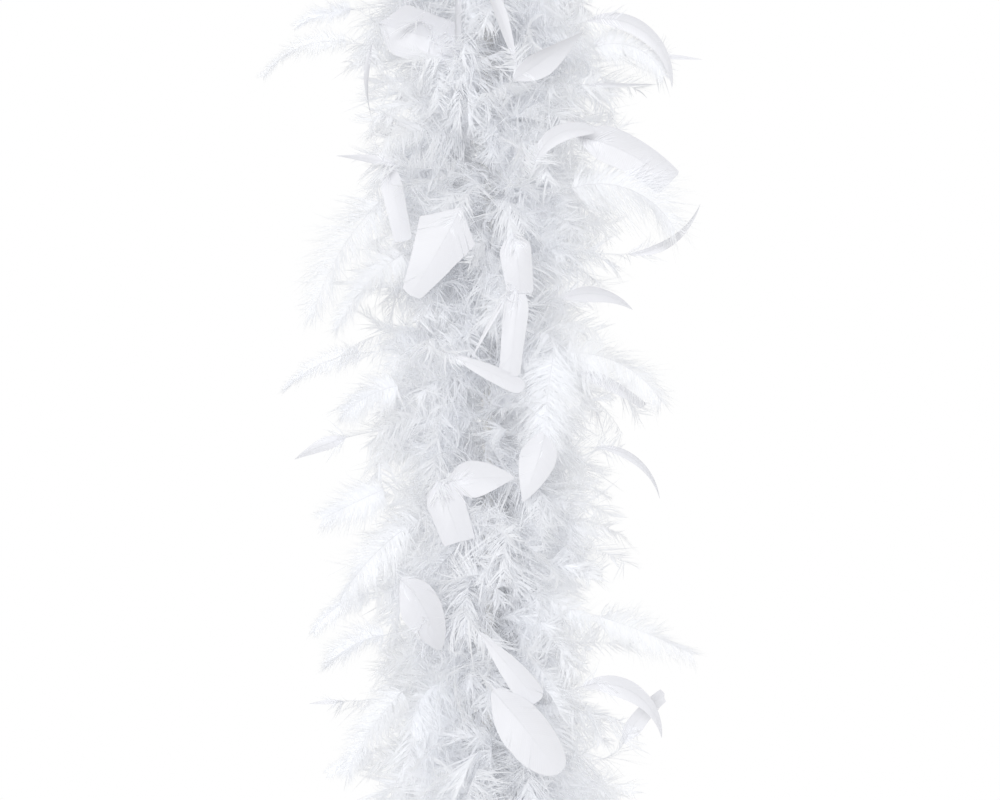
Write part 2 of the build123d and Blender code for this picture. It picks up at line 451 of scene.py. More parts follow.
def barb_course(rng, root, spot, shape, loose):
    """Which way each barb leaves its shaft, and how it curls on from there."""
    count, _, barbs = shape
    hand = np.repeat([-1.0, 1.0], barbs)[None, :]
    wild = loose * np.interp(spot, *WILDNESS)
    lean = np.radians(LEAN_AT_FOOT - LEAN_LOST_BY_TIP * spot)
    lean = lean + LOCK_LEAN * loose * per_lock(rng, shape, 1)
    lean = lean + rng.normal(0, BARB_LEAN, spot.shape)
    trough = rng.normal(0, FEATHER_TROUGH, (count, 1))
    waves = spot * rng.uniform(*WAVES_PER_FEATHER, (count, 1)) + rng.uniform(0, 6, (count, 1))
    wave = FEATHER_WAVE * np.sin(waves)
    lift = per_lock(rng, shape, LOCK_LIFT) + rng.normal(0, BARB_LIFT, spot.shape)
    lift = trough + hand * wave + wild * lift
    lean, lift = lean[..., None], lift[..., None]
    outward = hand[..., None] * np.cos(lift) * root["side"] + np.sin(lift) * root["face"]
    first = np.cos(lean) * root["along"] + np.sin(lean) * outward
    curl = CURL_ALONG * root["along"] + rng.normal(0, BARB_CURL, (*spot.shape, 3))
    curl += loose[..., None] * per_lock(rng, shape, LOCK_CURL, 3)
    curl[..., 2] -= CURL_DOWN
    return first, curl


def barb_lengths(rng, reach, spot, shape):
    """The length of each barb, from the longest that its feather has."""
    profile = np.interp(spot, *BARB_REACH)
    length = reach[:, None] * profile * (1 + LOCK_LENGTH * per_lock(rng, shape, 1))
    return length * rng.uniform(*BARB_LENGTHS, spot.shape)


def draw_together(rng, points, s, gather):
    """Pulls the tips of a lock's barbs towards its middle barb."""
    count, total = points.shape[:2]
    middle = np.arange(total) // LOCK_SIZE * LOCK_SIZE + LOCK_SIZE // 2
    middle = np.minimum(middle, total - 1)
    pull = gather[..., None, None] * s**1.5 * rng.uniform(*BARB_GATHER, (count, total, 1, 1))
    return points * (1 - pull) + points[:, middle] * pull


def barb_ribbons(rng, points, s, root, spot, fine):
    """The two edges of a tapering ribbon along each barb, which faces roughly as its feather does."""
    tangent = unit(np.gradient(points, axis=2))
    facing = root["face"] + rng.normal(0, BARB_TURN, root["face"].shape)
    across = unit(np.cross(tangent, facing[:, :, None]))
    thick = fine * np.exp(rng.normal(0, BARB_THICKNESSES, spot.shape))
    thick = thick * np.interp(spot, *BARB_THICKNESS)
    half = BARB_HALF_WIDTH * np.interp(s, *BARB_TAPER) * thick[:, :, None, None]
    return np.stack([points - across * half, points + across * half], 3)


def plumes(
    rng,
    line,
    start,
    end,
    reach,
    barbs=BARBS_PER_SIDE,
    rows=BARB_POINTS,
    loose=None,
    fine=1.0,
    gather=0.35,
):
    """Downy barbs on both sides of each shaft. Neighbours go together in locks with soft tips.

    start and end are shares of the shaft, reach is the longest barb, rows the points along a barb,
    loose how ruffled the feathers are, fine how thick the barbs, and gather how closely locks draw in.
    """
    count = len(reach)
    shape = (count, 2, barbs)
    total = 2 * barbs
    spot = (np.arange(barbs) + 0.5 + rng.uniform(-BARB_SHIFT, BARB_SHIFT, shape)) / barbs
    spot = spot.reshape(count, total)
    root = sample(line, start[:, None] + (end - start)[:, None] * spot)
    if loose is None:
        loose = rng.uniform(*LOOSENESS, (count, 1))
    else:
        loose = np.full((count, 1), loose)
    first, curl = barb_course(rng, root, spot, shape, loose)
    length = barb_lengths(rng, reach, spot, shape)
    s = np.linspace(0, 1, rows)[:, None]
    bend = s * first[:, :, None] + s**2 / 2 * curl[:, :, None]
    points = root["points"][:, :, None] + bend * length[:, :, None, None]
    points = draw_together(rng, points, s, gather * loose)
    edges = barb_ribbons(rng, points, s, root, spot, fine)
    shade = FOOT_TONE + TIP_LIGHTER * s + rng.normal(0, FEATHER_TONE, (count, 1, 1, 1))
    shade = np.broadcast_to(np.clip(shade, 0, 1), edges.shape[:-1])
    grid = np.stack(np.meshgrid([0.0, 1.0], s[:, 0]), -1)
    uv = np.broadcast_to(grid, (*edges.shape[:-1], 2))
    return edges, grid_faces(count * total, rows, 2), shade, uv


# ---------------------------------------------------------------- blades

# A blade: slanting strips of barb, points across each, how far up the shaft the last one grows, how
# far they lean out, in degrees, the ranges that a blade's lean and bow are multiplied by, and how
# many times a strip's length is narrowed down
VANE_STRIPS = 24
VANE_COLUMNS = 4
LAST_STRIP = 0.97
STRIP_LEAN = 52
STRIP_LEANS = (0.85, 1.15)
BOWS = (0.2, 1.8)
HALVINGS = 12

# Kinds of tip, and by kind where the blade is widest and how it swells to there. The cut kind and
# the tapering kind then narrow by a share
POINTED, CUT, ROUND, TAPER, PADDLE, SOFT = range(6)
WIDEST_AT = [0.4, 0.35, 0.5, 0.16, 0.8]
SWELLS = [0.8, 0.8, 0.8, 0.8, 1.2]
CUT_NARROWS = 0.15
TAPER_NARROWS = 0.72
LEAST_WIDTH = 0.02

# Spreads: slant of the tip, groups of strips that part, and tone
TIP_SLANT = 0.35
DEEPEST_SLANT = 0.3
SPLIT_CHANCE = 0.16
SPLIT_SWING = 0.07
SPLIT_RAISE = 0.10
BLADE_TONE = 0.12
STRIP_TONE = 0.04


def blade_edge(kind, t):
    """Half width at a share of the blade's length, as a share of its widest."""
    peak = np.choose(kind, WIDEST_AT)
    swell = np.sin(np.clip(t / peak, 0, 1) * np.pi / 2) ** np.choose(kind, SWELLS)
    late = np.clip((t - peak) / (1 - peak), 0, 1)
    pointed = 1 - late**1.5
    cut = 1 - CUT_NARROWS * late
    round_end = np.sqrt(1 - late**2.4)
    taper = 1 - TAPER_NARROWS * late
    paddle = np.sqrt(1 - late**4)
    return swell * np.choose(kind, [pointed, cut, round_end, taper, paddle]) + LEAST_WIDTH


def strip_lengths(kind, q, lean, slope, length, width):
    """How far each strip goes before it meets the blade's outline, found by halving.

    Lengths are shares of the blade's length. t is along the blade, and b is out from its shaft.
    """
    inside = np.zeros(lean.shape)
    outside = np.ones(lean.shape)
    for _ in range(HALVINGS):
        trial = (inside + outside) / 2
        t = q + trial * np.cos(lean)
        b = trial * np.sin(lean) * length / width
        tip = 1 - np.clip(slope * b, 0, DEEPEST_SLANT) * width / length
        fits = (b < blade_edge(kind, t)) & (t < tip)
        inside = np.where(fits, trial, inside)
        outside = np.where(fits, outside, trial)
    return inside


def at_both_edges(values):
    """The values at the lower and the upper edge of each strip."""
    return np.stack([values[:, :-1], values[:, 1:]], -1)


def per_group(rng, group, spread):
    """A random number for each group of strips that keep together."""
    return np.take_along_axis(rng.normal(0, spread, (len(group), VANE_STRIPS + 1)), group, 1)


def vanes(rng, line, start, length, half_width, kind, splits=0.5, camber=0.25):
    """Flat blades: slanting strips of barb on both sides out to the blade's outline.

    splits is how far groups of strips part, and camber how far the blade's edges fall back.
    """
    count = len(length)
    blocks = []
    q = np.linspace(0, LAST_STRIP, VANE_STRIPS + 1)[None, :]
    v = np.linspace(0, 1, VANE_COLUMNS)
    kind, start = kind[:, None], start[:, None]
    length, width = length[:, None], half_width[:, None]
    for hand in (-1.0, 1.0):
        slope = rng.normal(0, TIP_SLANT, (count, 1))
        lean = np.radians(STRIP_LEAN) * (1 - q**3) * rng.uniform(*STRIP_LEANS, (count, 1))
        reach = at_both_edges(strip_lengths(kind, q, lean, slope, length, width))
        foot = np.broadcast_to(at_both_edges(q), reach.shape)
        group = np.cumsum(rng.random((count, VANE_STRIPS)) < SPLIT_CHANCE, axis=1)
        swing = per_group(rng, group, SPLIT_SWING * splits)
        raise_by = per_group(rng, group, SPLIT_RAISE * splits)
        turned = at_both_edges(lean)[..., None] + swing[..., None, None] * v
        t = foot[..., None] + reach[..., None] * v * np.cos(turned)
        b = reach[..., None] * v * np.sin(turned) * length[..., None, None]
        at = (start[..., None, None] + (1 - start[..., None, None]) * t).reshape(count, -1)
        root = sample(line, at)
        bow = camber * rng.uniform(*BOWS, (count, 1, 1, 1)) + raise_by[..., None, None]
        drop = (bow * b * b / width[..., None, None]).reshape(count, -1, 1)
        points = root["points"] + hand * b.reshape(count, -1, 1) * root["side"] - drop * root["face"]
        points = points.reshape(count, VANE_STRIPS, 2, VANE_COLUMNS, 3)
        tone = MIDDLE_TONE + rng.normal(0, BLADE_TONE, (count, 1, 1, 1))
        tone = tone + rng.normal(0, STRIP_TONE, (count, VANE_STRIPS, 1, 1))
        shade = np.broadcast_to(np.clip(tone, 0, 1), points.shape[:-1])
        uv = np.stack(np.broadcast_arrays(foot[..., None], v), -1)
        blocks.append((points, grid_faces(count * VANE_STRIPS, 2, VANE_COLUMNS), shade, uv))
    return blocks


# ---------------------------------------------------------------- feathers set by rule

# Downy feathers on one stretch of cord: their lengths in shares of SHAFT_LENGTH, rise and droop in
# degrees (middle and spread), spread of drift, roll and turn in radians, and the lengths of their
# barbs in shares of BARB_LENGTH, which are less on short feathers
DOWNY_PER_STRETCH = 290
SHAFT_LENGTH = 56 * MM
SHORTEST_SHARE = 0.32
SHARE_RANGE = 0.83
DOWNY_RISE = (24, 22)
DOWNY_DROOP = (70, 36)
DOWNY_DRIFT = 0.9
DOWNY_ROLL = 1.5
DOWNY_TURN = 0.25
DOWNY_REACH = (0.75, 1.15)
LEAST_REACH = 0.5
REACH_GAIN = 0.35
BARE_FOOT = 0.2

# Flat-tipped feathers on one stretch of cord: blades in millimetres, stems in shares of BODY_RADIUS,
# rise and droop in degrees, and drift, roll and turn in radians
FLATS_PER_STRETCH = 20
FLAT_BLADE = (24, 36)
FLAT_HALF_WIDTH = (3, 7)
FLAT_STEM = (0.75, 0.95)
FLAT_RISE = (20, 14)
FLAT_DROOP = (85, 25)
FLAT_DRIFT = 0.5
FLAT_ROLL = 1.3
FLAT_TURN = 0.3
FIRST_FLAT_TURN = 1.1
FLAT_BARE_FOOT = 0.08
DOWN_ONTO_BLADE = 1.1

# On the shown part the front has placed blades only: how far round the front goes, as a cosine
FRONT_LIMIT = -0.55


def scattered(rng, count, high, low, first_turn, turn_spread):
    """Heights and directions of feathers spread evenly down the cord and around it."""
    roots = high - (high - low) * (np.arange(count) + rng.uniform(0, 1, count)) / count
    turns = np.arange(count) * GOLDEN_ANGLE + first_turn + rng.normal(0, turn_spread, count)
    return roots, turns


def downy_feathers(rng, high, low):
    """Blocks of short down, which is hidden, and of long down."""
    share = (high - low) / STRETCH
    count = int(round(DOWNY_PER_STRETCH * share))
    roots, turns = scattered(rng, count, high, low, 0, DOWNY_TURN)
    grown = SHORTEST_SHARE + SHARE_RANGE * rng.uniform(0, 1, count) ** 0.6
    lengths = SHAFT_LENGTH * unevenness(roots, turns) * grown
    rises = np.radians(rng.normal(*DOWNY_RISE, count))
    droops = np.radians(rng.normal(*DOWNY_DROOP, count))
    drifts = rng.normal(0, DOWNY_DRIFT, count)
    rolls = rng.uniform(-DOWNY_ROLL, DOWNY_ROLL, count)
    line = free_lines(roots, turns, lengths, rises, droops, drifts, rolls, SHAFT_POINTS)
    reach = BARB_LENGTH * rng.uniform(*DOWNY_REACH, count)
    reach = reach * np.clip(lengths / SHAFT_LENGTH + REACH_GAIN, LEAST_REACH, 1)
    short = lengths < np.median(lengths)
    layers = []
    for layer, rows in ((short, UNDER_BARB_POINTS), (~short, BARB_POINTS)):
        whole = np.ones(layer.sum())
        down = plumes(rng, chosen(line, layer), BARE_FOOT * whole, whole, reach[layer], rows=rows)
        layers.append([down])
    under, outer = layers
    whole = np.ones(count)
    under.append(quills(line, 0 * whole, whole, *DOWNY_QUILL))
    return under, outer


def flat_feathers(rng, high, low):
    """Blocks of down and of blades. The front of the shown part is left free."""
    share = (high - low) / STRETCH
    count = int(round(FLATS_PER_STRETCH * share))
    roots, turns = scattered(rng, count, high, low, FIRST_FLAT_TURN, FLAT_TURN)
    front = np.cos(turns + np.pi / 2) > FRONT_LIMIT
    shown = np.abs(roots - SHOWN_Z) < SHOWN_HALF
    keep = ~(front & shown)
    roots, turns = roots[keep], turns[keep]
    count = len(roots)
    whole = np.ones(count)
    blade = rng.uniform(*FLAT_BLADE, count) * MM
    stem = BODY_RADIUS * unevenness(roots, turns) * rng.uniform(*FLAT_STEM, count)
    lengths = stem + blade
    rises = np.radians(rng.normal(*FLAT_RISE, count))
    droops = np.radians(rng.normal(*FLAT_DROOP, count))
    drifts = rng.normal(0, FLAT_DRIFT, count)
    rolls = rng.uniform(-FLAT_ROLL, FLAT_ROLL, count)
    line = free_lines(roots, turns, lengths, rises, droops, drifts, rolls, LONG_SHAFT_POINTS)
    start = stem / lengths
    down_end = start * DOWN_ONTO_BLADE
    down = plumes(rng, line, FLAT_BARE_FOOT * whole, down_end, BARB_LENGTH * whole)
    kind = rng.integers(0, SOFT, count)
    half_width = rng.uniform(*FLAT_HALF_WIDTH, count) * MM
    blades = vanes(rng, line, start, blade, half_width, kind)
    blades.append(quills(line, 0 * whole, start, *FLAT_QUILL))
    return [down], blades


def zone_feathers(zone, high, low):
    """All feathers rooted between two heights, as blocks of short down, long down and blades."""
    rng = np.random.default_rng(SEED * 1000 + zone)
    high, low = min(high, FEATHERS_TOP), max(low, FEATHERS_END)
    under, outer = downy_feathers(rng, high, low)
    flat_down, blades = flat_feathers(rng, high, low)
    return under, outer + flat_down, blades


# ---------------------------------------------------------------- feathers placed one by one

# The feathers that stand out on the shown part, in millimetres and degrees: across and up from its
# centre, heading (0 right, 90 up), length, width, bend along the blade, roll about its shaft, and
# the kind of tip. SOFT ones are open downy plumes.
PLACED_BLADES = [
    (13, 140, 105, 36, 6, 8, 25, PADDLE),
    (11, 136, 30, 35, 12, 8, 38, POINTED),
    (-46, 160, -18, 36, 21, 4, 12, CUT),
    (-49, 151, -104, 36, 4, 32, 60, POINTED),
    (-60, 152, 172, 40, 8, 62, 35, SOFT),
    (-58, 166, 188, 24, 8, 20, 20, SOFT),
    (42, 161, 14, 53, 7, -105, 25, POINTED),
    (46, 150, 20, 34, 12, -85, 20, SOFT),
    (40, 134, -3, 32, 2, 6, 40, POINTED),
    (70, 146, -2, 22, 2, -4, 0, POINTED),
    (20, 100, 76, 32, 7, -95, 20, ROUND),
    (38, 112, -10, 44, 15, -34, 10, CUT),
    (36, 90, 18, 50, 24, -80, 20, SOFT),
    (60, 62, 0, 40, 4, 70, 30, POINTED),
    (-43, 102, -76, 35, 9, -3, 8, CUT),
    (-38, 100, 168, 26, 4, 8, 30, POINTED),
    (-46, 84, 226, 56, 18, 28, 25, SOFT),
    (-36, 62, 214, 42, 12, 30, 38, SOFT),
    (-11, 82, -116, 42, 28, -8, 10, TAPER),
    (11, 71, -80, 25, 13, -5, 12, CUT),
    (14, 49, -98, 38, 10, 4, 14, CUT),
    (11, 49, -122, 36, 2, 6, 0, POINTED),
    (-20, 21, -22, 38, 7, -5, 8, PADDLE),
    (32, 43, 22, 31, 7, -62, 25, POINTED),
    (34, 20, 4, 46, 16, -62, 30, SOFT),
    (40, 12, -18, 30, 6, -20, 35, CUT),
    (28, 18, -100, 34, 22, 8, 15, SOFT),
    (25, -13, -104, 31, 15, -8, 10, POINTED),
    (-54, 20, 186, 36, 8, 40, 30, SOFT),
    (-60, -16, 196, 24, 6, 14, 30, POINTED),
    (-38, 6, 190, 27, 13, 38, 42, SOFT),
    (-44, -38, 203, 28, 14, 6, 25, SOFT),
    (-17, -35, 12, 28, 15, -16, 10, POINTED),
    (-21, -34, -68, 27, 15, -4, 8, CUT),
    (46, -20, 2, 38, 4, -82, 35, POINTED),
    (-50, -82, 190, 30, 8, 50, 30, SOFT),
    (-34, -54, 214, 40, 16, 26, 28, SOFT),
    (-44, -100, 184, 27, 12, 50, 40, SOFT),
    (-36, -124, 224, 42, 13, 24, 32, SOFT),
    (-37, -76, -40, 34, 20, -45, 38, ROUND),
    (-4, -98, -47, 38, 10.5, -6, 8, PADDLE),
    (2, -123, -47, 44, 20, -8, 12, ROUND),
    (40, -122, 22, 46, 9, -108, 30, POINTED),
    (58, -146, 66, 28, 8, -30, 20, CUT),
    (-61, -128, 180, 15, 2, 8, 0, POINTED),
    (-49, -150, 198, 20, 6, 12, 20, SOFT),
    (48, -92, -16, 42, 14, -12, 25, SOFT),
]

# How far in front of the body's roundness a placed blade starts, and how far its root is above it
BLADE_PROUD = 11 * MM
ROOT_ABOVE = 6 * MM

# A placed blade starts out leaning forward by this many degrees, and loses this many times that by
# its tip. Its roll starts at one share of the listed one and grows by another
BLADE_PITCH = 18
PITCH_LOST = 1.6
ROLL_AT_FOOT = 0.4
ROLL_GAIN = 1.2

# Its stem, with down from a quarter of the way on, and more down on the first quarter of the blade
STEM_POINTS = 12
STEM_BOW = 0.35
STEM_BARBS = 40
STEM_DOWN_FROM = 0.25
FOOT_BARBS = 14
FOOT_DOWN_TO = 0.25
FOOT_DOWN_REACH = 0.6
BLADE_QUILL_TO = 0.9
PLACED_SPLITS = 0.12
PLACED_CAMBER = 0.2

# Open plumes: many fine barbs on each side, hardly ruffled. The longest are PLUME_REACH times half the
# listed width
PLUME_BARBS = 300
PLUME_REACH = 1.5
PLUME_LOOSENESS = 0.3
PLUME_FINENESS = 0.45
PLUME_GATHER = 0.1


def placed_stems(root, base, along):
    """Shafts that curve out from the cord to the foot of each placed blade."""
    inner = base - along * np.linalg.norm(base - root, axis=1)[:, None] * STEM_BOW
    t = np.linspace(0, 1, STEM_POINTS)[None, :, None]
    stem = (1 - t) ** 2 * root[:, None] + 2 * t * (1 - t) * inner[:, None] + t**2 * base[:, None]
    stem_along = unit(np.gradient(stem, axis=1))
    stem_flat = unit(np.cross(stem_along, np.array([0.0, 0.0, 1.0])) + 1e-6)
    return shaft_frame(stem, stem_along, stem_flat, np.zeros(stem.shape[:2]))


def placed_lines(rows):
    """The line of each placed blade, the line of its stem, and the height that it is rooted at.

    The list says where a blade shows at the cord's distance. The blade is nearer the camera than the
    cord, so it is brought in towards the middle of the view.
    """
    columns = [np.array(column, float) for column in zip(*rows)]
    across, up, heading, length, _, bend, roll, _ = columns
    across, up, length = across * MM, up * MM, length * MM
    heading, bend, roll = np.radians(heading), np.radians(bend), np.radians(roll)
    depth = np.sqrt(np.maximum(BODY_RADIUS**2 - across**2, 0)) + BLADE_PROUD
    nearer = 1 - depth / CAMERA_DISTANCE
    across = VIEW_ACROSS + (across - VIEW_ACROSS) * nearer
    base = np.stack([across, -depth, SHOWN_Z + up * nearer], -1)
    s = np.linspace(0, 1, LONG_SHAFT_POINTS)[None]
    turn = heading[:, None] + bend[:, None] * s
    pitch = np.radians(BLADE_PITCH) * (1 - PITCH_LOST * s)
    level = np.cos(pitch)
    along = np.stack([np.cos(turn) * level, -np.sin(pitch) + 0 * turn, np.sin(turn) * level], -1)
    blade = np.zeros_like(along)
    blade[:, 1:] = np.cumsum((along[:, 1:] + along[:, :-1]) / 2, axis=1)
    pace = (length / (LONG_SHAFT_POINTS - 1))[:, None, None]
    blade = base[:, None] + blade * pace
    flat = np.stack([-np.sin(turn), 0 * turn, np.cos(turn)], -1)
    blade_line = shaft_frame(blade, along, flat, roll[:, None] * (ROLL_AT_FOOT + ROLL_GAIN * s))
    root = np.stack([0 * across, 0 * across, base[:, 2] + ROOT_ABOVE], -1)
    return blade_line, placed_stems(root, base, along[:, 0]), root[:, 2]


def open_plumes(rng, line, half_widths):
    """Plumes of many fine barbs, all along their shafts."""
    whole = np.ones(len(half_widths))
    return plumes(
        rng,
        line,
        0 * whole,
        whole,
        half_widths * PLUME_REACH,
        barbs=PLUME_BARBS,
        loose=PLUME_LOOSENESS,
        fine=PLUME_FINENESS,
        gather=PLUME_GATHER,
    )


def placed_in_zone(rng, stems, lines, lengths, half_widths, kinds):
    """Blocks of down and of blades for the placed feathers of one zone."""
    whole = np.ones(len(kinds))
    down = [plumes(rng, stems, STEM_DOWN_FROM * whole, whole, BARB_LENGTH * whole, STEM_BARBS)]
    down.append(quills(stems, 0 * whole, whole, *PLACED_STEM_QUILL))
    flat = kinds != SOFT
    whole = np.ones(flat.sum())
    line = chosen(lines, flat)
    reach = FOOT_DOWN_REACH * BARB_LENGTH * whole
    down.append(plumes(rng, line, 0 * whole, FOOT_DOWN_TO * whole, reach, FOOT_BARBS))
    outline = (lengths[flat], half_widths[flat], kinds[flat])
    blades = vanes(rng, line, 0 * whole, *outline, splits=PLACED_SPLITS, camber=PLACED_CAMBER)
    blades.append(quills(line, 0 * whole, BLADE_QUILL_TO * whole, *PLACED_BLADE_QUILL))
    if not flat.all():
        line = chosen(lines, ~flat)
        whole = np.ones((~flat).sum())
        down.append(open_plumes(rng, line, half_widths[~flat]))
        blades.append(quills(line, 0 * whole, whole, *PLUME_QUILL))
    return down, blades


def placed_feathers():
    """Blocks of down and blades for the placed feathers, by the zone that each is rooted in."""
    rng = np.random.default_rng(SEED)
    blade_line, stem_line, roots = placed_lines(PLACED_BLADES)
    lengths = np.array([row[3] for row in PLACED_BLADES]) * MM
    half_widths = np.array([row[4] for row in PLACED_BLADES]) * MM / 2
    kinds = np.array([row[7] for row in PLACED_BLADES])
    zones = np.searchsorted(-np.array(zone_edges()), -roots) - 1
    blocks = {}
    for zone in np.unique(zones):
        mine = zones == zone
        stems, lines = chosen(stem_line, mine), chosen(blade_line, mine)
        outlines = (lengths[mine], half_widths[mine], kinds[mine])
        blocks[int(zone)] = placed_in_zone(rng, stems, lines, *outlines)
    return blocks


def make_feathers():
    """The feathers of each zone: two layers of down and the blades."""
    down, vane = down_material(), vane_material()
    edges = zone_edges()
    placed = placed_feathers()
    for zone in range(len(edges) - 1):
        under_blocks, down_blocks, vane_blocks = zone_feathers(zone, edges[zone], edges[zone + 1])
        if zone in placed:
            down_blocks += placed[zone][0]
            vane_blocks += placed[zone][1]
        node = min(zone, len(BODIES) - 1) + 1
        for name, blocks in (("underdown", under_blocks), ("fluff", down_blocks)):
            fluff = make_mesh(f"{name}_{zone:02d}", blocks, down)
            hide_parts(f"down_plumes_{node:02d}")
            attach(fluff, zone)
        blades = make_mesh(f"blades_{zone:02d}", vane_blocks, vane)
        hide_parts(f"flat_feathers_{node:02d}")
        attach(blades, zone)


# ---------------------------------------------------------------- cord, thread and the two ends

# The core: two plies that press a little into each other, and the crossed thread round it
CORD_RADIUS = 2.5 * MM
CORD_TWIST = 17 * MM
PLY_PRESS = 0.08
THREAD_RADIUS = 0.3 * MM
WRAP_RADIUS = 3.4 * MM
WRAP_PITCH = 5 * MM

# The whippings' thread, and how far apart its turns lie, as a share of its thickness
WHIPPING_THREAD = 0.42 * MM
WHIPPING_GAP = 1.02

# The hanging loop: its eye, its plies, and how far they are from the cord's middle in their own radii
EYE_RADIUS = 7 * MM
LOOP_PLY = 0.8 * MM
LOOP_PLY_OFFSET = 0.9
LOOP_TWIST = 5 * MM
LEG_SPREAD = 2 * MM
LOOP_STEPS = 160

# The knot: a trefoil of one thick strand
KNOT_STRAND = 1.3 * MM
KNOT_REACH = 2.3 * MM
KNOT_LOBE = 1.2 * MM
KNOT_HALF_HEIGHT = 2.4 * MM
KNOT_STEPS = 181

# The frayed tail, with ranges for each yarn's place and flare in millimetres, its length as a share
# of the tail's, and its ripple. It turns aside by a spread in radians, and thins by a share
TAIL_YARNS = 34
TAIL_STEPS = 12
YARN_RADIUS = 0.24 * MM
YARN_PLACES = (0.4, 1.8)
YARN_FLARES = (1, 6)
YARN_LENGTHS = (0.82, 1.0)
YARN_RIPPLES = (8, 14)
RIPPLE_DEPTH = 0.25 * MM
YARN_TURN = 0.5
YARN_THINS = 0.5
TAIL_INSIDE_KNOT = 2 * MM


def sweep(paths, normals, radius, sides=8):
    """Tubes of equal length in steps along paths, with a direction across each path to start from."""
    tangent = unit(np.gradient(paths, axis=1))
    side = unit(np.cross(tangent, normals))
    face = np.cross(side, tangent)
    turn = np.arange(sides) * 2 * np.pi / sides
    ring = np.cos(turn)[:, None] * side[:, :, None] + np.sin(turn)[:, None] * face[:, :, None]
    points = paths[:, :, None] + ring * np.broadcast_to(radius, paths.shape[:2])[:, :, None, None]
    run = np.linalg.norm(np.diff(paths, axis=1), axis=-1)
    run = np.concatenate([np.zeros((len(paths), 1)), np.cumsum(run, 1)], 1) / MM
    uv = np.stack(np.broadcast_arrays(turn / (2 * np.pi), run[..., None] / 4), -1)
    shade = np.full(points.shape[:-1], MIDDLE_TONE)
    return points, grid_faces(len(paths), paths.shape[1], sides, wrap=True), shade, uv


def helix(top, bottom, radius, pitch, hand=1, phase=0.0, steps_per_turn=14):
    """A winding round the boa's axis, as a path and the directions out from the axis."""
    turns = (top - bottom) / pitch
    steps = max(8, int(turns * steps_per_turn))
    t = np.linspace(0, 1, steps)
    angle = phase + hand * 2 * np.pi * turns * t
    out = np.stack([np.cos(angle), np.sin(angle), 0 * t], -1)
    path = out * radius
    path[:, 2] = top + (bottom - top) * t
    return path[None], out[None]


def twisted_cord(top, bottom):
    """Two plies of cotton laid round each other."""
    ply = CORD_RADIUS / 2
    phase = -2 * np.pi * top / CORD_TWIST
    blocks = []
    for start in (0, np.pi):
        path, out = helix(top, bottom, ply * (1 - PLY_PRESS), CORD_TWIST, phase=phase + start)
        blocks.append(sweep(path, out, ply * (1 + PLY_PRESS), sides=12))
    return blocks


def crossed_winding(top, bottom):
    """The binding thread: one winding each way round the cord."""
    blocks = []
    for hand in (-1, 1):
        phase = hand * 2 * np.pi * top / WRAP_PITCH
        path, out = helix(top, bottom, WRAP_RADIUS, WRAP_PITCH, hand=hand, phase=phase)
        blocks.append(sweep(path, out, THREAD_RADIUS, sides=5))
    return blocks


def close_winding(top, bottom, radius):
    """A whipping of thread, turn against turn."""
    pitch = 2 * WHIPPING_THREAD * WHIPPING_GAP
    path, out = helix(top, bottom, radius - WHIPPING_THREAD, pitch, steps_per_turn=30)
    return [sweep(path, out, WHIPPING_THREAD)]


def make_cords(cotton, thread):
    """The twisted core and its criss-cross binding, a piece for each zone."""
    edges = zone_edges()
    for zone in range(len(edges) - 1):
        high = min(edges[zone], CORD_TOP)
        low = max(edges[zone + 1], CORD_END)
        nodes = sorted({max(zone, 1), min(zone + 1, len(BODIES))})
        core = make_mesh(f"twisted_cord_{zone:02d}", twisted_cord(high, low), cotton)
        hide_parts(*(f"core_cord_{node:02d}" for node in nodes))
        attach(core, zone)
        binding = make_mesh(f"wound_thread_{zone:02d}", crossed_winding(high, low), thread)
        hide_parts(*(f"binding_thread_{node:02d}" for node in nodes))
        attach(binding, zone)


def loop_path():
    """The eye's line: up one leg, over the ring and down the other leg, in the x-z plane."""
    ring_z = LOOP_PLY * (1 + LOOP_PLY_OFFSET) - EYE_RADIUS
    neck_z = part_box("top_whipping")[1][2]
    t = np.linspace(0, 1, LOOP_STEPS)
    leg_z = CORD_TOP + (ring_z - CORD_TOP) * t
    rise = np.clip((leg_z - neck_z) / (ring_z - neck_z), 0, 1)
    leg_x = LEG_SPREAD + (EYE_RADIUS - LEG_SPREAD) * rise * rise * (3 - 2 * rise)
    left = np.stack([-leg_x, 0 * t, leg_z], -1)
    angle = np.pi * (1 - t)
    ring = np.stack([EYE_RADIUS * np.cos(angle), 0 * t, ring_z + EYE_RADIUS * np.sin(angle)], -1)
    right = left[::-1] * np.array([-1, 1, 1])
    path = np.concatenate([left, ring[1:-1], right])
    run = np.concatenate([[0], np.cumsum(np.linalg.norm(np.diff(path, axis=0), axis=1))])
    even = np.linspace(0, run[-1], len(path))
    return np.stack([np.interp(even, run, path[:, axis]) for axis in range(3)], -1), even


def make_loop(cotton):
    """The hanging loop: two thin plies twisted together along the eye."""
    path, run = loop_path()
    tangent = unit(np.gradient(path, axis=0))
    across = np.broadcast_to([0.0, 1.0, 0.0], path.shape)
    inward = np.cross(tangent, across)
    blocks = []
    for start in (0, np.pi):
        angle = (start + run / LOOP_TWIST * 2 * np.pi)[:, None]
        out = np.cos(angle) * across + np.sin(angle) * inward
        ply = path + out * LOOP_PLY * LOOP_PLY_OFFSET
        blocks.append(sweep(ply[None], out[None], LOOP_PLY, sides=10))
    loop = make_mesh("twisted_loop", blocks, cotton)
    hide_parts("hanging_loop")
    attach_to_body(loop, BODIES[0])


def make_whippings(thread):
    """The close windings of thread at both ends of the feathers."""
    for node, body in (("top_whipping", BODIES[0]), ("bottom_whipping", BODIES[-1])):
        low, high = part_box(node)
        wound = make_mesh(f"wound_{node}", close_winding(high[2], low[2], high[0]), thread)
        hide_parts(node)
        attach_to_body(wound, body)


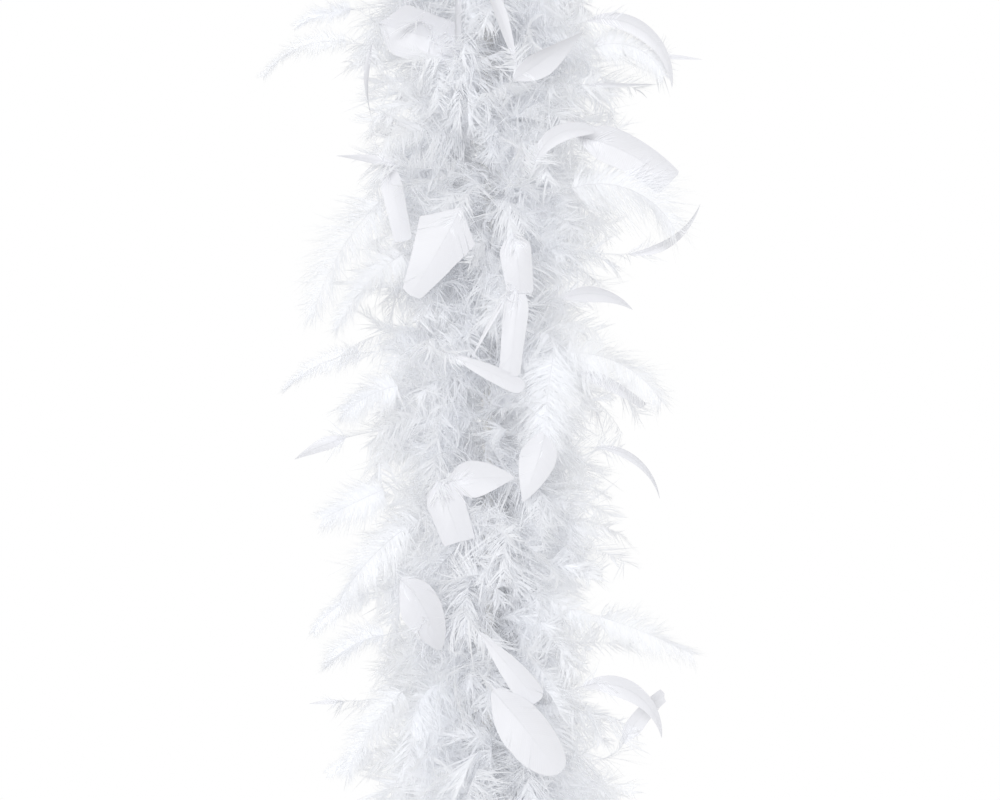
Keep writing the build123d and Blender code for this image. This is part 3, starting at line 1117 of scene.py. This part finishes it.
def make_knot(cotton):
    """The overhand stopper knot, pulled tight, as a trefoil drawn out along the cord."""
    low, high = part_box("end_knot")
    centre_z = (low[2] + high[2]) / 2
    t = np.linspace(0, 2 * np.pi, KNOT_STEPS)
    reach = KNOT_REACH + KNOT_LOBE * np.cos(3 * t)
    height = centre_z + KNOT_HALF_HEIGHT * np.sin(3 * t)
    path = np.stack([reach * np.cos(2 * t), reach * np.sin(2 * t), height], -1)
    out = np.stack([np.cos(2 * t), np.sin(2 * t), 0 * t], -1)
    knot = make_mesh("overhand_knot", [sweep(path[None], out[None], KNOT_STRAND, sides=14)], cotton)
    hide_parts("end_knot")
    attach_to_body(knot, BODIES[-1])


def make_tail(cotton):
    """The cut end below the knot, frayed into its yarns."""
    rng = np.random.default_rng(SEED + 7)
    low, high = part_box("cord_tail")
    each = (TAIL_YARNS, 1)
    t = np.linspace(0, 1, TAIL_STEPS)[None]
    angle = rng.uniform(0, 2 * np.pi, each)
    place = rng.uniform(*YARN_PLACES, each) * MM
    flare = rng.uniform(*YARN_FLARES, each) * MM
    out = place + flare * t**2
    bend = angle + rng.normal(0, YARN_TURN, each) * t
    length = (high[2] - low[2]) * rng.uniform(*YARN_LENGTHS, each)
    wave = RIPPLE_DEPTH * np.sin(t * rng.uniform(*YARN_RIPPLES, each))
    height = high[2] + TAIL_INSIDE_KNOT - length * t
    path = np.stack([out * np.cos(bend) + wave, out * np.sin(bend) - wave, height], -1)
    normals = np.broadcast_to([0.0, 1.0, 0.1], path.shape)
    radius = YARN_RADIUS * (1 - YARN_THINS * t)
    tail = make_mesh("frayed_tail", [sweep(path, normals, radius, sides=5)], cotton)
    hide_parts("cord_tail")
    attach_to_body(tail, BODIES[-1])


# ---------------------------------------------------------------- room, light and camera

ROOM_STRENGTH = 0.55
BACKDROP_STRENGTH = 1.0
FLOOR_RADIUS = 6
FLOOR_BELOW = 120 * MM


def make_world():
    """A white studio: a plain white backdrop, which lights the boa at about half strength."""
    world = bpy.data.worlds.new("white")
    world.use_nodes = True
    tree = world.node_tree
    shade = tree.nodes["Background"]
    shade.inputs["Color"].default_value = (1, 1, 1, 1)
    path = tree.nodes.new("ShaderNodeLightPath")
    strength = tree.nodes.new("ShaderNodeMix")
    strength.inputs[2].default_value = ROOM_STRENGTH
    strength.inputs[3].default_value = BACKDROP_STRENGTH
    tree.links.new(path.outputs["Is Camera Ray"], strength.inputs[0])
    tree.links.new(strength.outputs[0], shade.inputs["Strength"])
    bpy.context.scene.world = world


def make_floor():
    """A plain pale floor under the hanging boa."""
    place = (0, 0, BOTTOM - FLOOR_BELOW)
    bpy.ops.mesh.primitive_circle_add(
        vertices=96, radius=FLOOR_RADIUS, fill_type="NGON", location=place
    )
    floor = bpy.context.object
    floor.name = "floor"
    material, _, shader = new_material("pale_floor")
    shader.inputs["Base Color"].default_value = (*FLOOR_COLOUR, 1)
    shader.inputs["Roughness"].default_value = 0.8
    floor.data.materials.append(material)


def make_light(name, heading, height, strength, spread):
    """A distant soft lamp. Heading and height are degrees, and heading 0 is the camera's side."""
    light = bpy.data.lights.new(name, "SUN")
    light.energy = strength
    light.angle = math.radians(spread)
    lamp = bpy.data.objects.new(name, light)
    bpy.context.scene.collection.objects.link(lamp)
    lamp.rotation_euler = (math.radians(90 - height), 0, math.radians(heading))


def make_camera():
    """The camera looks straight at the front of the shown part."""
    data = bpy.data.cameras.new("camera")
    data.sensor_width = SENSOR
    data.lens = SENSOR * CAMERA_DISTANCE / VIEW_WIDTH
    camera = bpy.data.objects.new("camera", data)
    bpy.context.scene.collection.objects.link(camera)
    camera.location = (VIEW_ACROSS, -CAMERA_DISTANCE, SHOWN_Z)
    camera.rotation_euler = (math.radians(90), 0, 0)
    bpy.context.scene.camera = camera


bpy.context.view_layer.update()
make_camera()
make_feathers()
cotton = yarn_material("cotton_cord", COTTON_COLOURS, bands=5)
thread = yarn_material("binding_thread", THREAD_COLOURS, bands=3)
make_cords(cotton, thread)
make_loop(cotton)
make_whippings(thread)
make_knot(cotton)
make_tail(cotton)
make_world()
make_floor()
make_light("key", heading=-4, height=7, strength=2.9, spread=16)
make_light("back", heading=180, height=35, strength=0.5, spread=60)
bpy.context.scene.view_settings.view_transform = "Standard"
bpy.context.scene.view_settings.gamma = 1.25
